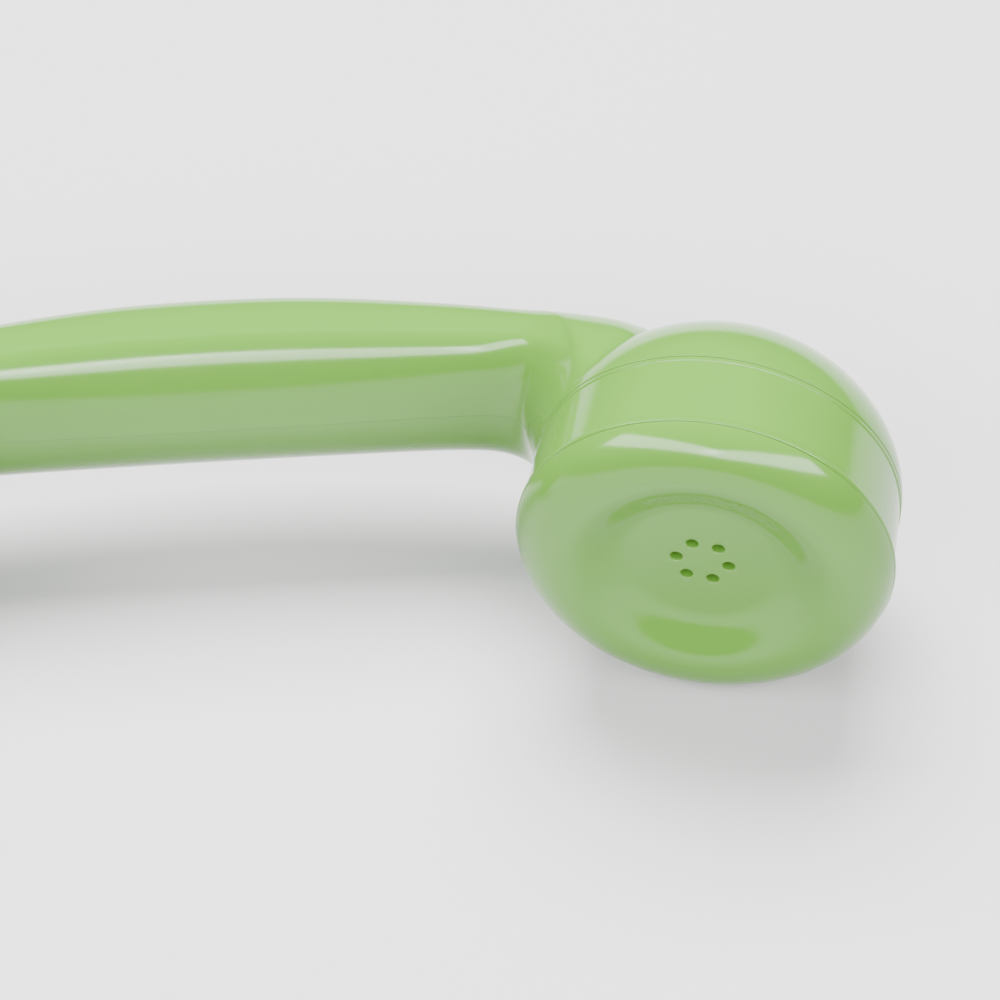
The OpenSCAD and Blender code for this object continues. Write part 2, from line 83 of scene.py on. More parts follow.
def add_camera():
    """A long lens that looks down on the receiver from in front of it."""
    data = bpy.data.cameras.new("camera")
    data.lens = LENS
    data.sensor_width = SENSOR
    camera = bpy.data.objects.new("camera", data)
    bpy.context.scene.collection.objects.link(camera)
    back = Vector(
        (
            math.sin(VIEW_AZIMUTH) * math.cos(VIEW_ELEVATION),
            -math.cos(VIEW_AZIMUTH) * math.cos(VIEW_ELEVATION),
            math.sin(VIEW_ELEVATION),
        )
    )
    right = Vector((0, 0, 1)).cross(back).normalized()
    up = back.cross(right)
    forward = (-back - right * math.tan(AIM_LEFT) + up * math.tan(AIM_UP)).normalized()
    right = forward.cross(up).normalized()
    turn = Matrix((right, right.cross(forward), -forward)).transposed().to_4x4()
    turn.translation = SEAM[RECEIVER] + back * VIEW_DISTANCE
    camera.matrix_world = turn
    bpy.context.scene.camera = camera


add_camera()

# ---------------------------------------------------------------- materials


MOTTLE_SIZE = 12  # size of a plain finish's patches of colour, in grains
SMOOTHEST, ROUGHEST = 0.85, 1.2  # limits of its roughness, as shares of the given one
GRAIN_STRENGTH = 0.4
GREEN_DARK = (0.074, 0.196, 0.023)
GREEN_LIGHT = (0.079, 0.208, 0.025)
GREEN_DRIFT = 28.0  # features per metre
GREEN_SKIN = 420.0
GREEN_ROUGH = (0.10, 0.17)
GREEN_IOR = 1.46
SKIN_DEPTH = 0.06 * MM  # depth of the parting line; the skin's waves have SKIN_SHARE of it
SKIN_SHARE = 0.03
PARTING_FADE = 0.11 * MM
WINDING_PITCH = 0.25 * MM
WINDING_DEPTH = 0.05 * MM


def new_material(name):
    material = bpy.data.materials.new(name)
    material.use_nodes = True
    nodes = material.node_tree.nodes
    return material, nodes, material.node_tree.links, nodes["Principled BSDF"]


def noise(nodes, links, scale, detail=3.0):
    """A noise texture on object coordinates, with scale in features per metre."""
    coordinates = nodes.new("ShaderNodeTexCoord")
    texture = nodes.new("ShaderNodeTexNoise")
    texture.inputs["Scale"].default_value = scale
    texture.inputs["Detail"].default_value = detail
    links.new(coordinates.outputs["Object"], texture.inputs["Vector"])
    return texture.outputs["Fac"]


def ramp(nodes, links, source, low, high, start=0.3, end=0.7):
    """Turns a factor into a colour between two, given as red, green and blue."""
    node = nodes.new("ShaderNodeValToRGB")
    node.color_ramp.elements[0].position = start
    node.color_ramp.elements[1].position = end
    node.color_ramp.elements[0].color = (*low, 1)
    node.color_ramp.elements[1].color = (*high, 1)
    links.new(source, node.inputs["Fac"])
    return node.outputs["Color"]


def spread(nodes, links, source, low, high):
    """Turns a factor into a number between two."""
    node = nodes.new("ShaderNodeMapRange")
    node.inputs["To Min"].default_value = low
    node.inputs["To Max"].default_value = high
    links.new(source, node.inputs["Value"])
    return node.outputs["Result"]


def bump(nodes, links, source, shader, depth, strength=1.0):
    """Raises a shader's surface by a factor, up to a depth in metres."""
    node = nodes.new("ShaderNodeBump")
    node.inputs["Distance"].default_value = depth
    node.inputs["Strength"].default_value = strength
    links.new(source, node.inputs["Height"])
    links.new(node.outputs["Normal"], shader.inputs["Normal"])


def finish_material(name, low, high, rough, metallic=0.0, grain=600.0, depth=0.02 * MM):
    """A plain finish: mottled between two colours, with uneven gloss and a fine grain."""
    material, nodes, links, shader = new_material(name)
    shader.inputs["Metallic"].default_value = metallic
    mottle = noise(nodes, links, grain / MOTTLE_SIZE)
    links.new(ramp(nodes, links, mottle, low, high), shader.inputs["Base Color"])
    fine = noise(nodes, links, grain)
    gloss = spread(nodes, links, fine, rough * SMOOTHEST, rough * ROUGHEST)
    links.new(gloss, shader.inputs["Roughness"])
    bump(nodes, links, fine, shader, depth, GRAIN_STRENGTH)
    return material


def parting_line(nodes, links, height):
    """1 on the parting plane at that height, and 0 from PARTING_FADE away from it."""
    coordinates = nodes.new("ShaderNodeTexCoord")
    parts = nodes.new("ShaderNodeSeparateXYZ")
    links.new(coordinates.outputs["Object"], parts.inputs["Vector"])
    away = nodes.new("ShaderNodeMath")
    away.operation = "SUBTRACT"
    away.inputs[1].default_value = height
    links.new(parts.outputs["Z"], away.inputs[0])
    size = nodes.new("ShaderNodeMath")
    size.operation = "ABSOLUTE"
    links.new(away.outputs["Value"], size.inputs[0])
    line = nodes.new("ShaderNodeMapRange")
    line.interpolation_type = "SMOOTHSTEP"
    line.inputs["From Max"].default_value = PARTING_FADE
    line.inputs["To Min"].default_value = 1.0
    line.inputs["To Max"].default_value = 0.0
    links.new(size.outputs["Value"], line.inputs["Value"])
    return line.outputs["Result"]


def green_moulding(name, parting_z=None):
    """Glossy pale-green moulding: slow drifts of colour, uneven gloss and a faintly uneven skin."""
    material, nodes, links, shader = new_material(name)
    drift = noise(nodes, links, GREEN_DRIFT, 2.0)
    colour = ramp(nodes, links, drift, GREEN_DARK, GREEN_LIGHT, 0.25, 0.75)
    links.new(colour, shader.inputs["Base Color"])
    skin = noise(nodes, links, GREEN_SKIN, 2.0)
    links.new(spread(nodes, links, skin, *GREEN_ROUGH), shader.inputs["Roughness"])
    height = spread(nodes, links, skin, 0.0, SKIN_SHARE)
    if parting_z is not None:
        total = nodes.new("ShaderNodeMath")
        total.operation = "ADD"
        links.new(height, total.inputs[0])
        links.new(parting_line(nodes, links, parting_z), total.inputs[1])
        height = total.outputs["Value"]
    bump(nodes, links, height, shader, SKIN_DEPTH, 1.0)
    shader.inputs["IOR"].default_value = GREEN_IOR
    return material


GREEN = green_moulding("green_moulding")
HANDLE_GREEN = green_moulding("green_handle", parting_z=SEAM[RECEIVER].z)
STEEL = finish_material("plated_steel", (0.50, 0.50, 0.48), (0.64, 0.64, 0.62), 0.28, 1.0)
SOFT_IRON = finish_material("soft_iron", (0.30, 0.31, 0.33), (0.44, 0.45, 0.47), 0.38, 1.0)
ALUMINIUM = finish_material("aluminium", (0.66, 0.66, 0.68), (0.78, 0.78, 0.80), 0.30, 1.0)
BRASS = finish_material("brass", (0.66, 0.47, 0.18), (0.80, 0.60, 0.27), 0.25, 1.0)
MAGNET = finish_material(
    "magnet", (0.05, 0.05, 0.055), (0.09, 0.09, 0.10), 0.55, metallic=0.4, grain=900.0
)
BLACK = finish_material("black_moulding", (0.010, 0.010, 0.010), (0.022, 0.021, 0.020), 0.35)
BOARD = finish_material(
    "laminated_board", (0.13, 0.055, 0.022), (0.22, 0.10, 0.045), 0.45, grain=1500.0
)
RUBBER = finish_material(
    "rubber", (0.018, 0.018, 0.018), (0.035, 0.034, 0.033), 0.70, grain=1800.0, depth=0.04 * MM
)
FELT = finish_material(
    "felt", (0.010, 0.010, 0.010), (0.040, 0.040, 0.040), 0.95, grain=3500.0, depth=0.2 * MM
)
FILM = finish_material("film", (0.62, 0.58, 0.46), (0.74, 0.70, 0.58), 0.30)
CARBON = finish_material(
    "carbon", (0.006, 0.006, 0.006), (0.030, 0.030, 0.030), 0.50, grain=2500.0, depth=0.3 * MM
)
WHITE_SLEEVE = finish_material("white_sleeve", (0.70, 0.69, 0.62), (0.80, 0.79, 0.73), 0.35)
GREEN_SLEEVE = finish_material("green_sleeve", (0.02, 0.16, 0.05), (0.04, 0.24, 0.08), 0.35)
BUSH = finish_material("bush_plastic", (0.20, 0.36, 0.13), (0.24, 0.41, 0.16), 0.42)


def winding():
    """Enamelled copper wire, wound round the drum's axis in fine turns."""
    material, nodes, links, shader = new_material("copper_winding")
    shader.inputs["Metallic"].default_value = 1.0
    mottle = noise(nodes, links, 500.0)
    colour = ramp(nodes, links, mottle, (0.55, 0.20, 0.07), (0.72, 0.30, 0.12))
    links.new(colour, shader.inputs["Base Color"])
    coordinates = nodes.new("ShaderNodeTexCoord")
    along = nodes.new("ShaderNodeVectorMath")
    along.operation = "DOT_PRODUCT"
    along.inputs[1].default_value = DRUM[RECEIVER].col[2].xyz
    links.new(coordinates.outputs["Object"], along.inputs[0])
    turns = nodes.new("ShaderNodeMath")
    turns.operation = "MULTIPLY"
    turns.inputs[1].default_value = 2 * math.pi / WINDING_PITCH
    links.new(along.outputs["Value"], turns.inputs[0])
    wave = nodes.new("ShaderNodeMath")
    wave.operation = "SINE"
    links.new(turns.outputs["Value"], wave.inputs[0])
    links.new(spread(nodes, links, mottle, 0.25, 0.35), shader.inputs["Roughness"])
    bump(nodes, links, wave.outputs["Value"], shader, WINDING_DEPTH, 0.6)
    return material


NODE_MATERIALS = {
    "handle": GREEN,
    "receiver_collar": GREEN,
    "transmitter_collar": GREEN,
    "receiver_cap": GREEN,
    "transmitter_cap": GREEN,
    "receiver_collar_screws": STEEL,
    "transmitter_collar_screws": STEEL,
    "receiver_felt": FELT,
    "transmitter_membrane": FILM,
    "receiver_washer": RUBBER,
    "transmitter_washer": RUBBER,
    "receiver_seat": RUBBER,
    "transmitter_seat": RUBBER,
    "receiver_case": STEEL,
    "receiver_grille": ALUMINIUM,
    "receiver_diaphragm": SOFT_IRON,
    "receiver_magnet": MAGNET,
    "receiver_pole_ring": SOFT_IRON,
    "receiver_pole": SOFT_IRON,
    "receiver_coil": winding(),
    "receiver_terminal_board": BOARD,
    "receiver_terminal_screws": BRASS,
    "transmitter_cup": BLACK,
    "transmitter_case": ALUMINIUM,
    "transmitter_grille": ALUMINIUM,
    "transmitter_diaphragm": ALUMINIUM,
    "transmitter_electrode": BRASS,
    "transmitter_carbon": CARBON,
    "transmitter_carbon_cell": BRASS,
    "transmitter_centre_spring": BRASS,
    "transmitter_ring_spring": BRASS,
    "transmitter_terminal_screws": BRASS,
    "wire_white": WHITE_SLEEVE,
    "wire_green": GREEN_SLEEVE,
    "cord_bush": BUSH,
    "cord_clamp": STEEL,
    "cord_clamp_screws": STEEL,
}

for node_name, node_object in frame["nodes"].items():
    node_object.data.materials.clear()
    node_object.data.materials.append(NODE_MATERIALS[node_name])

# ---------------------------------------------------------------- mesh helpers

WELD = 0.0005 * MM  # vertices closer than this become one
THIN = 0.0002 * MM  # edges shorter than this go


def arc(cx, cy, radius, start, end, steps):
    """Points of an arc in a profile, as (radius, height), with angles in degrees."""
    angles = [math.radians(start + (end - start) * i / steps) for i in range(steps + 1)]
    return [(cx + radius * math.cos(a), cy + radius * math.sin(a)) for a in angles]


def add_chain(bm, profile, closed):
    """Vertices and edges of a profile, given as (radius, height) in mm, in the XZ plane."""
    verts = [bm.verts.new((r * MM, 0, z * MM)) for r, z in profile]
    edges = [bm.edges.new(pair) for pair in zip(verts, verts[1:])]
    if closed:
        edges.append(bm.edges.new((verts[-1], verts[0])))
    return verts + edges


def revolve(bm, profile, closed, steps=144):
    """Turns a profile round Z. An open one runs from the axis back to the axis."""
    bmesh.ops.spin(
        bm,
        geom=add_chain(bm, profile, closed),
        cent=(0, 0, 0),
        axis=(0, 0, 1),
        dvec=(0, 0, 0),
        angle=2 * math.pi,
        steps=steps,
        use_merge=True,
    )
    bmesh.ops.remove_doubles(bm, verts=bm.verts, dist=WELD)
    bmesh.ops.recalc_face_normals(bm, faces=bm.faces)


def make_object(bm, name, place=None):
    """An object from a bmesh, with its place in its mesh."""
    if place is not None:
        bmesh.ops.transform(bm, matrix=place, verts=bm.verts)
    mesh = bpy.data.meshes.new(name)
    bm.to_mesh(mesh)
    bm.free()
    piece = bpy.data.objects.new(name, mesh)
    bpy.context.scene.collection.objects.link(piece)
    return piece


def revolved(name, profile, closed, place, steps=144):
    """An object turned from a profile, at its place."""
    bm = bmesh.new()
    revolve(bm, profile, closed, steps)
    return make_object(bm, name, place)


def combine(piece, others, operation):
    """Applies one boolean for each of the others, and removes them."""
    for other in others:
        modifier = piece.modifiers.new("cut", "BOOLEAN")
        modifier.operation = operation
        modifier.solver = "MANIFOLD"
        modifier.object = other
        bpy.context.view_layer.update()
        depsgraph = bpy.context.evaluated_depsgraph_get()
        mesh = bpy.data.meshes.new_from_object(piece.evaluated_get(depsgraph))
        piece.modifiers.clear()
        old = piece.data
        piece.data = mesh
        bpy.data.meshes.remove(old)
        spent = other.data
        bpy.data.objects.remove(other)
        bpy.data.meshes.remove(spent)
    return piece


def finish_piece(piece, material, body, nodes, crease=35.0):
    """Shades a piece smooth up to a crease angle, gives it its finish and body, and hides the CAD
    nodes it replaces.
    """
    mesh = piece.data
    mesh.materials.clear()
    mesh.materials.append(material)
    bm = bmesh.new()
    bm.from_mesh(mesh)
    bmesh.ops.dissolve_degenerate(bm, dist=THIN, edges=bm.edges)
    for face in bm.faces:
        face.smooth = True
        face.material_index = 0
    for edge in bm.edges:
        edge.smooth = edge.calc_face_angle(0.0) < math.radians(crease)
    bm.to_mesh(mesh)
    bm.free()
    weigh = piece.modifiers.new("even_shading", "WEIGHTED_NORMAL")
    weigh.keep_sharp = True
    weigh.mode = "FACE_AREA"
    weigh.weight = 100
    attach(piece, body)
    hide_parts(*nodes)
    return piece


# ---------------------------------------------------------------- sizes, in mm

SEAM_R = 31.0
RING_R = 30.2
BAND_H = 14.9
DOME_H = 24.2
DOME_POWER = 1.06
WALL = 2.6
GRIP_W = 15.0
PALM_Y = 32.2
BACK_Y = 55.3
BACK_DROP = 0.0023
CHANNEL_R = 4.5

# ---------------------------------------------------------------- grip

# Sections of one half of the grip, from its middle into the bowl: x, bend round the drum, half
# width, palm height, height of the widest line, fullness of the palm side and of the back.
GRIP_SECTIONS = np.array(
    [
        (0, 0, GRIP_W, PALM_Y + 0.7, 41, 1.65, 2.6),
        (16, 0, GRIP_W - 0.1, PALM_Y + 0.7, 41, 1.7, 2.6),
        (32, 0, GRIP_W - 0.6, PALM_Y + 0.8, 40.6, 1.85, 2.5),
        (42, 0, GRIP_W - 0.9, PALM_Y + 0.9, 40, 2, 2.5),
        (48, 0.3, GRIP_W - 0.7, PALM_Y + 0.4, 39, 2.1, 2.4),
        (51.5, 0.7, GRIP_W + 0.6, PALM_Y - 1.4, 36, 2.2, 2.3),
        (53.2, 1, GRIP_W + 3, PALM_Y - 6, 31, 2.4, 2.25),
        (53.8, 1, GRIP_W + 5, 19, 26, 2.8, 2.2),
        (58, 1, GRIP_W + 6.4, 14, 24, 3, 2.1),
        (66, 0.6, GRIP_W + 6.4, 14, 24, 3, 2),
        (76, 0, GRIP_W + 3, 16, 24, 3, 1.9),
        (84, 0, 8, 18, 24, 3, 1.8),
    ]
)
STATIONS_PER_STEP = 14
SECTION_POINTS = 132
SOFTEN_PASSES = 30  # averaging passes that even out the bends between sections


def spline(before, a, b, after, t):
    """A smooth curve through points, at the share t of the way from a to b."""
    bend = before - 2.5 * a + 2 * b - after / 2
    return a + t * ((b - before) / 2 + t * (bend + t * (1.5 * a - 1.5 * b + (after - before) / 2)))


def dense_sections():
    """Sections close together from one end of the grip to the other, through those of the table."""
    half = GRIP_SECTIONS
    mirrored = half[:0:-1].copy()
    mirrored[:, 0] *= -1
    table = np.vstack([mirrored, half])
    padded = np.vstack([table[0], table, table[-1]])
    rows = []
    for i in range(1, len(padded) - 2):
        for j in range(STATIONS_PER_STEP):
            rows.append(spline(*padded[i - 1 : i + 3], j / STATIONS_PER_STEP))
    rows.append(table[-1])
    rows = np.array(rows)
    for _ in range(SOFTEN_PASSES):
        rows[1:-1] = rows[1:-1] / 2 + (rows[:-2] + rows[2:]) / 4
    return rows


def signed_power(value, power):
    """A power of a number's size, with the number's sign."""
    return math.copysign(abs(value) ** power, value)


def section_point(row, angle):
    """A point of a section, in mm in the part's frame."""
    x, bend, half_width, palm, widest, palm_power, back_power = row
    side = 1 if x >= 0 else -1
    upper = math.sin(angle) >= 0
    power = 2 / (back_power if upper else palm_power)
    z = half_width * signed_power(math.cos(angle), power)
    sag = RING_R - math.sqrt(max(0.0, RING_R**2 - z * z))
    reach = abs(x) + bend * sag
    back = BACK_Y - BACK_DROP * reach * reach
    height = back - widest if upper else widest - palm
    y = widest + height * signed_power(math.sin(angle), power)
    return Vector((side * reach, SEAM_Y + y, AXIS_Z + z)) * MM


def make_grip():
    """The grip: a grid rolled up into a tube that follows the sections, closed at both ends."""
    rows = dense_sections()
    bm = bmesh.new()
    bmesh.ops.create_grid(bm, x_segments=len(rows) - 1, y_segments=SECTION_POINTS, size=0.5)
    for vert in bm.verts:
        row = rows[round((vert.co.x + 0.5) * (len(rows) - 1))]
        vert.co = section_point(row, 2 * math.pi * (vert.co.y + 0.5))
    bmesh.ops.remove_doubles(bm, verts=bm.verts, dist=WELD)
    bmesh.ops.holes_fill(bm, edges=[e for e in bm.edges if e.is_boundary], sides=0)
    bmesh.ops.recalc_face_normals(bm, faces=bm.faces)
    return make_object(bm, "grip")


# ---------------------------------------------------------------- solids for the booleans

ROUND_STEPS = 5


def rounded(profile, radii):
    """A closed profile with some of its corners rounded; radii gives the radius for each corner."""
    out = []
    count = len(profile)
    for i, point in enumerate(profile):
        radius = radii.get(i, 0)
        corner = Vector(point)
        if not radius:
            out.append(tuple(corner))
            continue
        back = (Vector(profile[i - 1]) - corner).normalized()
        ahead = (Vector(profile[(i + 1) % count]) - corner).normalized()
        half = back.angle(ahead) / 2
        reach = radius / math.tan(half)
        centre = corner + (back + ahead).normalized() * radius / math.sin(half)
        start = corner + back * reach - centre
        sweep = start.angle_signed(corner + ahead * reach - centre)
        for k in range(ROUND_STEPS + 1):
            turn = Matrix.Rotation(-sweep * k / ROUND_STEPS, 2)
            out.append(tuple(centre + turn @ start))
    return out


def cylinder(name, radius, low, high, place, segments=64):
    """A cylinder round Z between two heights, in mm in the frame of its place."""
    outline = [(0, low), (radius, low), (radius, high), (0, high)]
    return revolved(name, outline, False, place, segments)


def box(name, low, high, place):
    """A box between two corners, given in mm in the frame of its place."""
    low, high = Vector(low) * MM, Vector(high) * MM
    bm = bmesh.new()
    bmesh.ops.create_cube(bm, size=1.0)
    size = Matrix.Diagonal((*(high - low), 1))
    return make_object(bm, name, place @ Matrix.Translation((low + high) / 2) @ size)


def at(x, y, z):
    """A shift in mm."""
    return Matrix.Translation(Vector((x, y, z)) * MM)


def around(count, circle, first=0.0):
    """Places on a circle round Z, from an angle in degrees."""
    angles = [math.radians(first + 360 * i / count) for i in range(count)]
    return [Matrix.Rotation(angle, 4, "Z") @ at(circle, 0, 0) for angle in angles]


ALONG_X = Matrix.Rotation(math.radians(90), 4, "Y")

# ---------------------------------------------------------------- handle moulding

CLEAR_LOW = (-48, -60, -BAND_H)  # corners of the space in front of the domes, kept clear of the grip
CLEAR_HIGH = (60, 60, 45)
HOLLOW_TOP = 25
DOME_EDGE = 0.16  # radius on the dome's edge at the collar
SPIGOT_R = 27.8
SPIGOT_WALL = 2.4
SPIGOT_TOP = -11
SPIGOT_LOW = -19
BOSS_COUNT = 3
BOSS_TURN = 90
BOSS_CIRCLE = 24.6
BOSS_R = 2.7
BOSS_LOW = -24
BOSS_DROP = 0.03  # how far the bosses end below the spigot's top
SCREW_R = 1.2
BOSS_HOLE = (-8, 4)  # ends of a boss's hole, from the spigot's top
BUSH_Z = -20.6
BUSH_R = 3.9
BUSH_LENGTH = 12
BUSH_PAD_R = 6
BUSH_PAD_START = 3.4  # how deep in the dome the pad begins
BUSH_SEAT = 24
FLANGE_GAP = 0.6
FLANGE_ROOM = 6
CLAMP_X = -15
CLAMP_Y = 6.5
CLAMP_TOP = -26
CLAMP_POST = 12
POST_HOLE = (-4, 4)  # ends of a post's hole, from the post's top
CHANNEL_Y = 42.5
CHANNEL_TURN_X = 46
CHANNEL_FALL = 36  # slope of the channel's ends, in degrees
CHANNEL_END = 29
DOME_STEPS = 56
TRIM = 1.0  # how far inside the dome the fittings end


def dome_profile(radius, height, edge=0.0):
    """The outline of a dome that stands below the collar, from its top plane to its crown."""
    angles = [math.radians(90 * i / DOME_STEPS) for i in range(DOME_STEPS + 1)]
    curve = [
        (
            radius * max(0.0, math.cos(a)) ** DOME_POWER,
            -BAND_H - height * math.sin(a) ** DOME_POWER,
        )
        for a in angles
    ]
    curve[-1] = (0, -BAND_H - height)
    if edge:
        curve = [point for point in curve if point[1] < -BAND_H - edge]
        curve = arc(radius - edge, -BAND_H - edge, edge, 90, 0, 5) + curve
    return [(0, -BAND_H)] + curve


def make_handle():
    """Grip and two domed bowls in one moulding, hollowed and fitted out inside."""
    handle = make_grip()
    fronts = [box("front", CLEAR_LOW, CLEAR_HIGH, DRUM[end]) for end in SIDE]
    combine(handle, fronts, "DIFFERENCE")
    outer = dome_profile(RING_R, DOME_H, DOME_EDGE)
    combine(handle, [revolved("dome", outer, False, DRUM[end], 180) for end in SIDE], "UNION")
    inner = dome_profile(RING_R - WALL, DOME_H - WALL)
    inner = [(0, HOLLOW_TOP), (RING_R - WALL, HOLLOW_TOP)] + inner[1:]
    combine(handle, [revolved("hollow", inner, False, DRUM[end], 120) for end in SIDE], "DIFFERENCE")
    fittings = []
    for end in SIDE:
        fittings += bowl_fittings(end)
    fittings += cord_fittings()
    combine(handle, fittings, "UNION")
    cuts = channel_cuts()
    for end in SIDE:
        low, high = (SPIGOT_TOP + reach for reach in BOSS_HOLE)
        for place in around(BOSS_COUNT, BOSS_CIRCLE, BOSS_TURN):
            cuts.append(cylinder("boss_hole", SCREW_R, low, high, DRUM[end] @ place, 24))
    far = DRUM[TRANSMITTER]
    entry = far @ at(-RING_R - 2, 0, BUSH_Z) @ ALONG_X
    cuts.append(cylinder("bush_hole", BUSH_R, 0, BUSH_LENGTH, entry))
    flange = far @ at(-BUSH_SEAT + 0.01, 0, BUSH_Z) @ ALONG_X
    cuts.append(cylinder("bush_seat", BUSH_PAD_R - FLANGE_GAP, 0, FLANGE_ROOM, flange, 48))
    low, high = (CLAMP_TOP + reach for reach in POST_HOLE)
    for y in (-CLAMP_Y, CLAMP_Y):
        cuts.append(cylinder("post_hole", SCREW_R, low, high, far @ at(CLAMP_X, y, 0), 24))
    combine(handle, cuts, "DIFFERENCE")
    return handle


def bowl_fittings(end):
    """The spigot that the collar fits over and the three bosses for its screws."""
    top = rounded(
        [
            (SPIGOT_R - SPIGOT_WALL, SPIGOT_LOW),
            (SPIGOT_R, SPIGOT_LOW),
            (SPIGOT_R, SPIGOT_TOP),
            (SPIGOT_R - SPIGOT_WALL, SPIGOT_TOP),
        ],
        {2: 0.3, 3: 0.3},
    )
    pieces = [revolved("spigot", top, True, DRUM[end], 120)]
    for place in around(BOSS_COUNT, BOSS_CIRCLE, BOSS_TURN):
        high = SPIGOT_TOP - BOSS_DROP
        pieces.append(cylinder("boss", BOSS_R, BOSS_LOW, high, DRUM[end] @ place, 32))
    return pieces


def cord_fittings():
    """The pad round the cord bush and the two posts of the cord clamp."""
    far = DRUM[TRANSMITTER]
    seat = far @ at(-RING_R, 0, BUSH_Z) @ ALONG_X
    start, depth = BUSH_PAD_START, RING_R - BUSH_SEAT
    pad = [(0, start), (BUSH_R + 0.3, start), (BUSH_PAD_R, depth), (0, depth)]
    pieces = [revolved("pad", pad, False, seat, 48)]
    for y in (-CLAMP_Y, CLAMP_Y):
        foot = CLAMP_TOP - CLAMP_POST
        post = cylinder("post", BOSS_R, foot, CLAMP_TOP, far @ at(CLAMP_X, y, 0), 32)
        dome = revolved("dome", dome_profile(RING_R - TRIM, DOME_H - TRIM), False, far, 96)
        pieces.append(combine(post, [dome], "INTERSECT"))
    return pieces


def channel_cuts():
    """The wire channel through the grip and its turns down into both bowls."""
    height = Matrix.Translation(Vector((0, SEAM_Y + CHANNEL_Y, AXIS_Z)) * MM)
    cuts = [cylinder("channel", CHANNEL_R, -CHANNEL_TURN_X, CHANNEL_TURN_X, height @ ALONG_X)]
    for side in (1, -1):
        fall = -CHANNEL_FALL if side > 0 else 180 + CHANNEL_FALL
        turn = Matrix.Rotation(math.radians(fall), 4, "Z")
        place = height @ at(side * CHANNEL_TURN_X, 0, 0) @ turn @ at(-CHANNEL_R / 2, 0, 0)
        cuts.append(cylinder("channel_end", CHANNEL_R - 0.1, 0, CHANNEL_END, place @ ALONG_X))
    return cuts


# ---------------------------------------------------------------- threads

LEAD = 3.0
THREAD_H = 0.85
SEGMENTS_PER_TURN = 60
RIDGE_ROOT = 0.62
RIDGE_CREST = 0.3
RIDGE_ROUND = 0.12
RIDGE_SUNK = 0.2  # how deep the ridge's root is in its cylinder
FADE_LENGTH = 6 / 40  # share of a turn over which the ridge grows to its full height
FADE_START = 0.15  # share of the full height at its very end
WEB_TOP = -8.5


def thread_ridge(name, radius, out, start, turns, place):
    """A helical ridge on a cylinder, that thins to nothing at both ends."""
    steps = math.ceil(turns * SEGMENTS_PER_TURN)
    outline = [
        (radius - out * RIDGE_SUNK, -RIDGE_ROOT),
        (radius + out * THREAD_H, -RIDGE_CREST),
        (radius + out * THREAD_H, RIDGE_CREST),
        (radius - out * RIDGE_SUNK, RIDGE_ROOT),
    ]
    crest = {1: RIDGE_ROUND, 2: RIDGE_ROUND}
    outline = rounded(outline if out > 0 else outline[::-1], crest)
    bm = bmesh.new()
    bmesh.ops.spin(
        bm,
        geom=add_chain(bm, [(r, z + start) for r, z in outline], True),
        cent=(0, 0, 0),
        axis=(0, 0, 1),
        dvec=(0, 0, LEAD * MM / SEGMENTS_PER_TURN),
        angle=2 * math.pi * steps / SEGMENTS_PER_TURN,
        steps=steps,
    )
    for vert in bm.verts:
        here = Vector((vert.co.x, vert.co.y))
        turned = math.atan2(here.y, here.x) / (2 * math.pi)
        climbed = (vert.co.z / MM - start) / LEAD
        turned += round(climbed - turned)
        run = min(turned, steps / SEGMENTS_PER_TURN - turned)
        share = min(1.0, FADE_START + max(0.0, run) / FADE_LENGTH)
        height = here.length / MM - radius
        if height * out > 0:
            here = here.normalized() * (radius + height * share) * MM
            vert.co.x, vert.co.y = here
    bmesh.ops.holes_fill(bm, edges=[e for e in bm.edges if e.is_boundary], sides=0)
    bmesh.ops.recalc_face_normals(bm, faces=bm.faces)
    return make_object(bm, name, place)


# ---------------------------------------------------------------- collars

WEB_R = 22.4
BORE_R = 28.2
SEAM_GAP = 0.02
FIT = 0.1  # play between the collar and the spigot
SINK_R = 2.7
THREAD_START = WEB_TOP + 1.9
COLLAR_TURNS = 1.9
# Radii of the collar's corners, by their number in its profile: 4 is the seam, 8 the lower lip.
COLLAR_ROUNDS = {1: 0.3, 3: 0.3, 4: 0.4, 5: 0.28, 6: 0.2, 7: 0.2, 8: 0.12, 9: 0.3}


def make_collar(end):
    """The band between the dome and the cap: a proud rounded lip at the seam, and its thread."""
    profile = [
        (WEB_R, SPIGOT_TOP),
        (WEB_R, WEB_TOP),
        (BORE_R, WEB_TOP),
        (BORE_R, -SEAM_GAP),
        (SEAM_R, -SEAM_GAP),
        (SEAM_R, -0.95),
        (SEAM_R - 0.42, -1.1),
        (RING_R - 0.18, -BAND_H + 1.0),
        (RING_R, -BAND_H + 0.85),
        (RING_R, -BAND_H + SEAM_GAP),
        (SPIGOT_R + FIT, -BAND_H + SEAM_GAP),
        (SPIGOT_R + FIT, SPIGOT_TOP),
    ]
    outline = rounded(profile, COLLAR_ROUNDS)
    collar = revolved(end + "_collar_skin", outline, True, DRUM[end], 180)
    bore = SCREW_R + 0.25
    sink = [(0, SPIGOT_TOP - 1), (bore, SPIGOT_TOP - 1), (bore, WEB_TOP - 1.5)]
    sink += [(SINK_R, WEB_TOP), (SINK_R, WEB_TOP + 1), (0, WEB_TOP + 1)]
    cuts = []
    for place in around(BOSS_COUNT, BOSS_CIRCLE, BOSS_TURN):
        cuts.append(revolved("sink", sink, False, DRUM[end] @ place, 32))
    combine(collar, cuts, "DIFFERENCE")
    ridge = thread_ridge("ridge", BORE_R, -1, THREAD_START, COLLAR_TURNS, DRUM[end])
    return combine(collar, [ridge], "UNION")


# ---------------------------------------------------------------- caps

